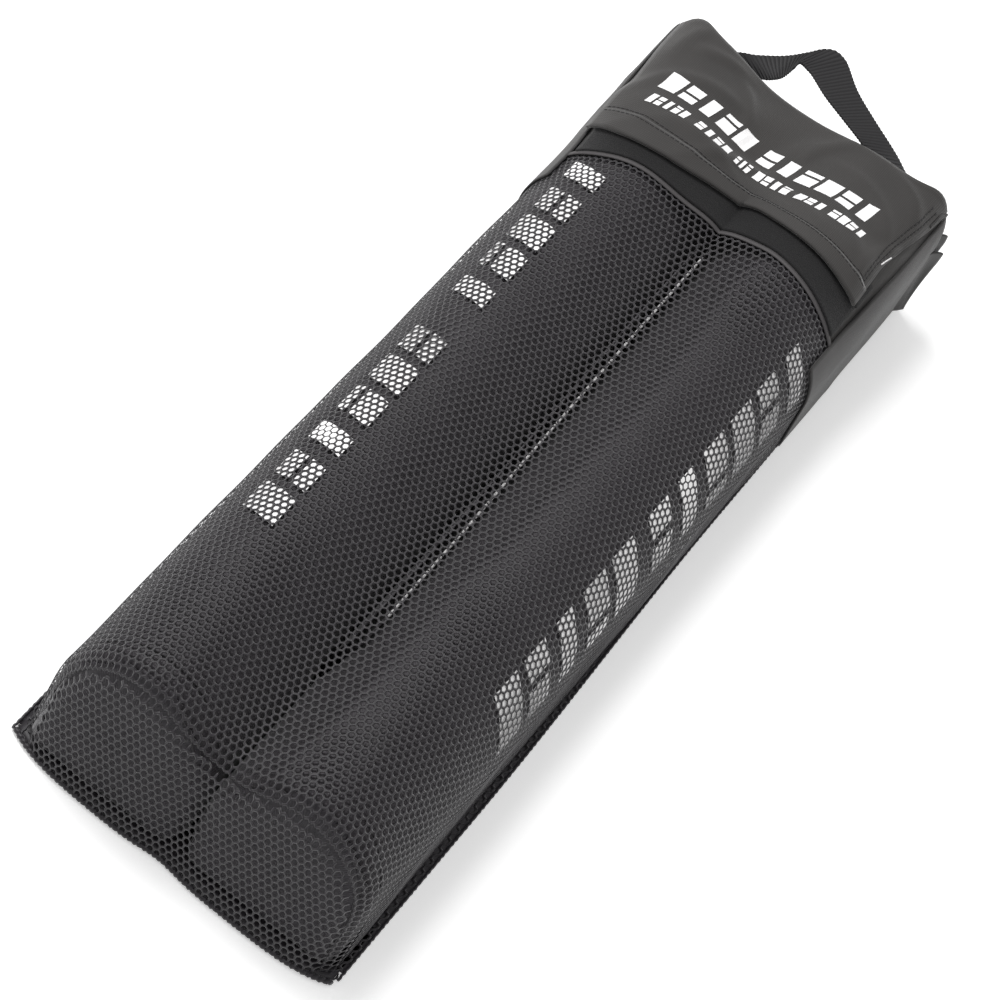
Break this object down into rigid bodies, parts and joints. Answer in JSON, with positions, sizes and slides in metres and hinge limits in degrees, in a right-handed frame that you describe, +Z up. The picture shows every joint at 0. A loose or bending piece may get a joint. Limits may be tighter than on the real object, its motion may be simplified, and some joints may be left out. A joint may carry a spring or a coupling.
{
  "type": "roof rack pad set in a mesh bag",
  "caption": "Long padded sleeves for roof rack bars, packed side by side in a black mesh carry bag with a flap and a webbing handle.",
  "frame": {"origin": "under the middle of the packed bag, handle included, at the surface that it lies on", "axes": "+Y along the pads towards the header and handle, +X across the bag, +Z up from the surface"},
  "size_m": [0.2092, 0.678, 0.0988],
  "materials": {
    "foam": "matt closed-cell foam",
    "cover_cloth": "coated woven polyester",
    "end_panel_cloth": "coated woven polyester",
    "pile_tape": "brushed hook-and-loop tape",
    "bag_mesh": "knitted polyester mesh",
    "header_cloth": "plain woven polyester",
    "binding_tape": "woven binding tape",
    "webbing": "ribbed woven webbing",
    "thread": "white sewing thread",
    "print_ink": "white screen print"
  },
  "bodies": {
    "root": {"flap": "header_cloth", "handle": "webbing", "header_back": "header_cloth", "header_end_wall": "header_cloth", "header_front": "header_cloth", "hook_band": "pile_tape", "left_closure_flap": "cover_cloth", "left_corner_tuck": "header_cloth", "left_cover": "cover_cloth", "left_far_end_panel": "end_panel_cloth", "left_foam_core": "foam", "left_hook_tape": "pile_tape", "left_loop_tape": "pile_tape", "left_near_end_panel": "end_panel_cloth", "left_side_panel": "header_cloth", "loop_band": "pile_tape", "mesh_back": "bag_mesh", "mesh_front": "bag_mesh", "mouth_tape": "binding_tape", "right_closure_flap": "cover_cloth", "right_corner_tuck": "header_cloth", "right_cover": "cover_cloth", "right_far_end_panel": "end_panel_cloth", "right_foam_core": "foam", "right_hook_tape": "pile_tape", "right_loop_tape": "pile_tape", "right_near_end_panel": "end_panel_cloth", "right_side_panel": "header_cloth"}
  },
  "joints": []
}
